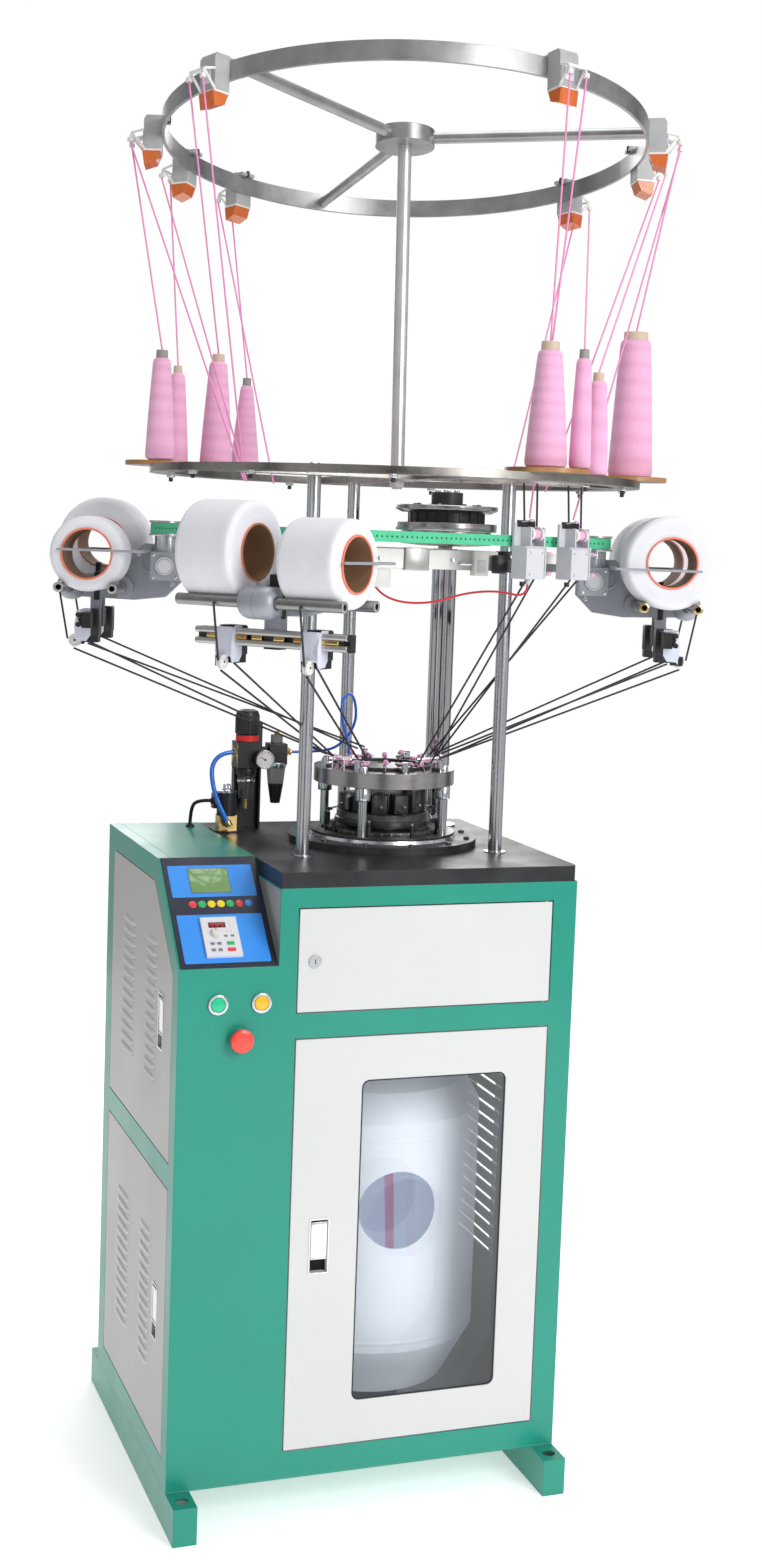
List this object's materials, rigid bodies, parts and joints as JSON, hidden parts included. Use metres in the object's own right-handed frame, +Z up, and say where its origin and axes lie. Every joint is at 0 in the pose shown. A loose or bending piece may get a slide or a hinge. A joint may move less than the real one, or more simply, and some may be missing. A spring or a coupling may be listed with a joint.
{
  "type": "circular knitting machine",
  "caption": "Floor-standing narrow circular knitting machine: steel cabinet with console, knitting head, driven elastic-yarn arms, cone tray and overhead thread ring.",
  "frame": {"origin": "on the floor, at the centre of the four floor bolts under the cabinet", "axes": "+Z up; the operator's side (doors and console) faces -Y; +X to the operator's right"},
  "size_m": [1.0488, 0.9798, 2.1633],
  "materials": {
    "cabinet_paint": "satin teal powder coat",
    "table_paint": "semi-gloss black",
    "panel_film": "printed film, satin",
    "door_paint": "satin light grey powder coat",
    "window": "clear",
    "latch_chrome": "satin",
    "knob_black": "matt",
    "knob_white": "satin",
    "button_green": "gloss",
    "button_yellow": "gloss",
    "button_red": "gloss",
    "motor_grey": "painted",
    "pulley_metal": "machined",
    "belt_green": "matt",
    "barrel_paint": "satin white",
    "knit_pink": "knitted",
    "head_black": "oiled",
    "ring_steel": "machined",
    "post_chrome": "polished",
    "frame_grey": "satin",
    "arm_grey": "cast, satin",
    "roller_steel": "ground",
    "wheel_grey": "satin",
    "yarn_white": "wound elastic yarn",
    "tray_steel": "satin",
    "cone_pink": "wound yarn",
    "top_steel": "satin",
    "guide_grey": "satin",
    "thread": "spun",
    "air_black": "satin",
    "hose_blue": "gloss",
    "cable_black": "matt",
    "cable_red": "matt"
  },
  "bodies": {
    "frame": {"cabinet_shell": "cabinet_paint", "table_slab": "table_paint", "control_panel": "panel_film", "main_motor": "motor_grey", "belts": "belt_green", "head_base": "head_black", "stitch_ring": "ring_steel", "fabric_tube": "knit_pink", "support_posts": "post_chrome", "support_frame": "frame_grey", "cone_tray": "tray_steel", "yarn_cones": "cone_pink", "top_ring": "top_steel", "yarn_guides": "guide_grey", "air_unit": "air_black", "air_hose_in": "hose_blue", "air_hose_out": "hose_blue", "valve_cable": "cable_black", "feeder_cable": "cable_red", "yarn_ends": "thread", "left_arm": "arm_grey", "front_arm": "arm_grey", "right_arm": "arm_grey"},
    "front_upper_door": {"front_upper_door": "door_paint"},
    "front_lower_door": {"front_lower_door": "door_paint", "window_pane": "window"},
    "front_latch": {"front_latch": "latch_chrome"},
    "left_upper_door": {"left_upper_door": "door_paint"},
    "side_upper_latch": {"side_upper_latch": "latch_chrome"},
    "left_lower_door": {"left_lower_door": "door_paint"},
    "side_lower_latch": {"side_lower_latch": "latch_chrome"},
    "front_lock": {"front_lock": "latch_chrome"},
    "keypad_knob": {"keypad_knob": "knob_white"},
    "start_button": {"start_button": "button_green"},
    "jog_button": {"jog_button": "button_yellow"},
    "estop_button": {"estop_button": "button_red"},
    "air_knob": {"air_knob": "knob_black"},
    "needle_cylinder": {"needle_cylinder": "ring_steel"},
    "motor_pulley": {"motor_pulley": "pulley_metal"},
    "fabric_barrel": {"fabric_barrel": "barrel_paint"},
    "feed_wheel": {"feed_wheel": "pulley_metal"},
    "feeder_wheel_1": {"feeder_wheel_1": "wheel_grey"},
    "feeder_wheel_2": {"feeder_wheel_2": "wheel_grey"},
    "left_pulley": {"left_pulley": "pulley_metal"},
    "left_roller_inner": {"left_roller_inner": "roller_steel"},
    "left_roller_outer": {"left_roller_outer": "roller_steel"},
    "left_guide_wheels": {"left_guide_wheels": "wheel_grey"},
    "left_spool_near": {"left_spool_near": "yarn_white"},
    "left_spool_far": {"left_spool_far": "yarn_white"},
    "front_pulley": {"front_pulley": "pulley_metal"},
    "front_roller_inner": {"front_roller_inner": "roller_steel"},
    "front_roller_outer": {"front_roller_outer": "roller_steel"},
    "front_guide_wheels": {"front_guide_wheels": "wheel_grey"},
    "front_spool_near": {"front_spool_near": "yarn_white"},
    "front_spool_far": {"front_spool_far": "yarn_white"},
    "right_pulley": {"right_pulley": "pulley_metal"},
    "right_roller_inner": {"right_roller_inner": "roller_steel"},
    "right_roller_outer": {"right_roller_outer": "roller_steel"},
    "right_guide_wheels": {"right_guide_wheels": "wheel_grey"},
    "right_spools": {"right_spools": "yarn_white"}
  },
  "joints": [
    {"name": "front_upper_door_hinge", "type": "hinge", "parent": "frame", "child": "front_upper_door", "pos_m": [0.262, -0.2425, 0.8445], "axis": [0, 0, 1], "range_deg": [0, 110]},
    {"name": "front_lower_door_hinge", "type": "hinge", "parent": "frame", "child": "front_lower_door", "pos_m": [0.262, -0.2425, 0.414], "axis": [0, 0, 1], "range_deg": [0, 110]},
    {"name": "front_latch_lift", "type": "hinge", "parent": "front_lower_door", "child": "front_latch", "pos_m": [-0.086, -0.245, 0.445], "axis": [-1, 0, 0], "range_deg": [0, 50], "stiffness_Nm_per_rad": 0.02},
    {"name": "left_upper_door_hinge", "type": "hinge", "parent": "frame", "child": "left_upper_door", "pos_m": [-0.305, 0.196, 0.742], "axis": [0, 0, -1], "range_deg": [0, 110]},
    {"name": "side_upper_latch_lift", "type": "hinge", "parent": "left_upper_door", "child": "side_upper_latch", "pos_m": [-0.3075, -0.146, 0.772], "axis": [0, 1, 0], "range_deg": [0, 50], "stiffness_Nm_per_rad": 0.02},
    {"name": "left_lower_door_hinge", "type": "hinge", "parent": "frame", "child": "left_lower_door", "pos_m": [-0.305, 0.196, 0.301], "axis": [0, 0, -1], "range_deg": [0, 110]},
    {"name": "side_lower_latch_lift", "type": "hinge", "parent": "left_lower_door", "child": "side_lower_latch", "pos_m": [-0.3075, -0.152, 0.331], "axis": [0, 1, 0], "range_deg": [0, 50], "stiffness_Nm_per_rad": 0.02},
    {"name": "front_lock_turn", "type": "hinge", "parent": "front_upper_door", "child": "front_lock", "pos_m": [-0.106, -0.2475, 0.843], "axis": [0, 1, 0], "range_deg": [0, 90]},
    {"name": "keypad_knob_turn", "type": "hinge", "parent": "frame", "child": "keypad_knob", "pos_m": [-0.248, -0.21161, 0.88155], "axis": [0, -0.6869, 0.7267], "range_deg": [-150, 150]},
    {"name": "start_button_press", "type": "slide", "parent": "frame", "child": "start_button", "axis": [0, 1, 0], "range_m": [0, 0.004], "stiffness_N_per_m": 400},
    {"name": "jog_button_press", "type": "slide", "parent": "frame", "child": "jog_button", "axis": [0, 1, 0], "range_m": [0, 0.004], "stiffness_N_per_m": 400},
    {"name": "estop_button_press", "type": "slide", "parent": "frame", "child": "estop_button", "axis": [0, 1, 0], "range_m": [0, 0.005]},
    {"name": "air_knob_turn", "type": "hinge", "parent": "frame", "child": "air_knob", "pos_m": [-0.101, 0.17, 1.15], "axis": [0, 0, 1], "range_deg": [-180, 180]},
    {"name": "cylinder_spin", "type": "hinge", "parent": "frame", "child": "needle_cylinder", "pos_m": [0.088, 0.025, 0.98], "axis": [0, 0, 1], "continuous": true},
    {"name": "motor_spin", "type": "hinge", "parent": "frame", "child": "motor_pulley", "pos_m": [-0.06, 0.13, 0.88], "axis": [0, 0, 1], "continuous": true},
    {"name": "barrel_spin", "type": "hinge", "parent": "frame", "child": "fabric_barrel", "pos_m": [0.088, 0.025, 0.35], "axis": [0, 0, 1], "continuous": true},
    {"name": "feed_wheel_spin", "type": "hinge", "parent": "frame", "child": "feed_wheel", "pos_m": [0.228, 0.15, 1.4], "axis": [0, 0, 1], "continuous": true},
    {"name": "feeder_wheel_1_spin", "type": "hinge", "parent": "frame", "child": "feeder_wheel_1", "pos_m": [0.219, -0.236, 1.476], "axis": [0.9232, 0.3843, 0], "continuous": true},
    {"name": "feeder_wheel_2_spin", "type": "hinge", "parent": "frame", "child": "feeder_wheel_2", "pos_m": [0.3065, -0.204, 1.476], "axis": [0.9232, 0.3843, 0], "continuous": true},
    {"name": "left_pulley_spin", "type": "hinge", "parent": "frame", "child": "left_pulley", "pos_m": [-0.2577, 0.11303, 1.46], "axis": [0, 0, 1], "continuous": true},
    {"name": "left_roller_inner_spin", "type": "hinge", "parent": "frame", "child": "left_roller_inner", "pos_m": [-0.31227, 0.17068, 1.37], "axis": [-0.342, -0.9397, 0], "continuous": true},
    {"name": "left_roller_outer_spin", "type": "hinge", "parent": "frame", "child": "left_roller_outer", "pos_m": [-0.38933, 0.19872, 1.37], "axis": [-0.342, -0.9397, 0], "continuous": true},
    {"name": "left_guide_wheels_spin", "type": "hinge", "parent": "frame", "child": "left_guide_wheels", "pos_m": [-0.37335, 0.19291, 1.286], "axis": [-0.342, -0.9397, 0], "continuous": true},
    {"name": "left_spool_near_spin", "type": "hinge", "parent": "frame", "child": "left_spool_near", "pos_m": [-0.3508, 0.1847, 1.4221], "axis": [-0.342, -0.9397, 0], "continuous": true},
    {"name": "left_spool_far_spin", "type": "hinge", "parent": "frame", "child": "left_spool_far", "pos_m": [-0.3508, 0.1847, 1.43904], "axis": [-0.342, -0.9397, 0], "continuous": true},
    {"name": "front_pulley_spin", "type": "hinge", "parent": "frame", "child": "front_pulley", "pos_m": [-0.10718, -0.3182, 1.46], "axis": [0, 0, 1], "continuous": true},
    {"name": "front_roller_inner_spin", "type": "hinge", "parent": "frame", "child": "front_roller_inner", "pos_m": [-0.18439, -0.33665, 1.37], "axis": [0.6428, -0.766, 0], "continuous": true},
    {"name": "front_roller_outer_spin", "type": "hinge", "parent": "frame", "child": "front_roller_outer", "pos_m": [-0.24721, -0.38935, 1.37], "axis": [0.6428, -0.766, 0], "continuous": true},
    {"name": "front_guide_wheels_spin", "type": "hinge", "parent": "frame", "child": "front_guide_wheels", "pos_m": [-0.23419, -0.37843, 1.286], "axis": [0.6428, -0.766, 0], "continuous": true},
    {"name": "front_spool_near_spin", "type": "hinge", "parent": "frame", "child": "front_spool_near", "pos_m": [-0.2158, -0.363, 1.42587], "axis": [0.6428, -0.766, 0], "continuous": true},
    {"name": "front_spool_far_spin", "type": "hinge", "parent": "frame", "child": "front_spool_far", "pos_m": [-0.2158, -0.363, 1.43729], "axis": [0.6428, -0.766, 0], "continuous": true},
    {"name": "right_pulley_spin", "type": "hinge", "parent": "frame", "child": "right_pulley", "pos_m": [0.37511, -0.11725, 1.46], "axis": [0, 0, 1], "continuous": true},
    {"name": "right_roller_inner_spin", "type": "hinge", "parent": "frame", "child": "right_roller_inner", "pos_m": [0.45397, -0.10818, 1.37], "axis": [0.342, 0.9397, 0], "continuous": true},
    {"name": "right_roller_outer_spin", "type": "hinge", "parent": "frame", "child": "right_roller_outer", "pos_m": [0.53103, -0.13622, 1.37], "axis": [0.342, 0.9397, 0], "continuous": true},
    {"name": "right_guide_wheels_spin", "type": "hinge", "parent": "frame", "child": "right_guide_wheels", "pos_m": [0.51505, -0.13041, 1.286], "axis": [0.342, 0.9397, 0], "continuous": true},
    {"name": "right_spools_spin", "type": "hinge", "parent": "frame", "child": "right_spools", "pos_m": [0.4925, -0.1222, 1.43904], "axis": [0.342, 0.9397, 0], "continuous": true}
  ],
  "couplings": [
    {"joint": "motor_spin", "follows": "cylinder_spin", "ratio": 2.6667},
    {"joint": "barrel_spin", "follows": "cylinder_spin", "ratio": 1},
    {"joint": "feed_wheel_spin", "follows": "cylinder_spin", "ratio": 2.6667},
    {"joint": "left_pulley_spin", "follows": "cylinder_spin", "ratio": 8.4444},
    {"joint": "left_roller_inner_spin", "follows": "cylinder_spin", "ratio": 1.6889},
    {"joint": "left_roller_outer_spin", "follows": "cylinder_spin", "ratio": 1.6889},
    {"joint": "left_spool_near_spin", "follows": "cylinder_spin", "ratio": -0.23295},
    {"joint": "left_spool_far_spin", "follows": "cylinder_spin", "ratio": -0.18765},
    {"joint": "front_pulley_spin", "follows": "cylinder_spin", "ratio": 8.4444},
    {"joint": "front_roller_inner_spin", "follows": "cylinder_spin", "ratio": 1.6889},
    {"joint": "front_roller_outer_spin", "follows": "cylinder_spin", "ratio": 1.6889},
    {"joint": "front_spool_near_spin", "follows": "cylinder_spin", "ratio": -0.22149},
    {"joint": "front_spool_far_spin", "follows": "cylinder_spin", "ratio": -0.19165},
    {"joint": "right_pulley_spin", "follows": "cylinder_spin", "ratio": 8.4444},
    {"joint": "right_roller_inner_spin", "follows": "cylinder_spin", "ratio": 1.6889},
    {"joint": "right_roller_outer_spin", "follows": "cylinder_spin", "ratio": 1.6889},
    {"joint": "right_spools_spin", "follows": "cylinder_spin", "ratio": -0.18765}
  ]
}
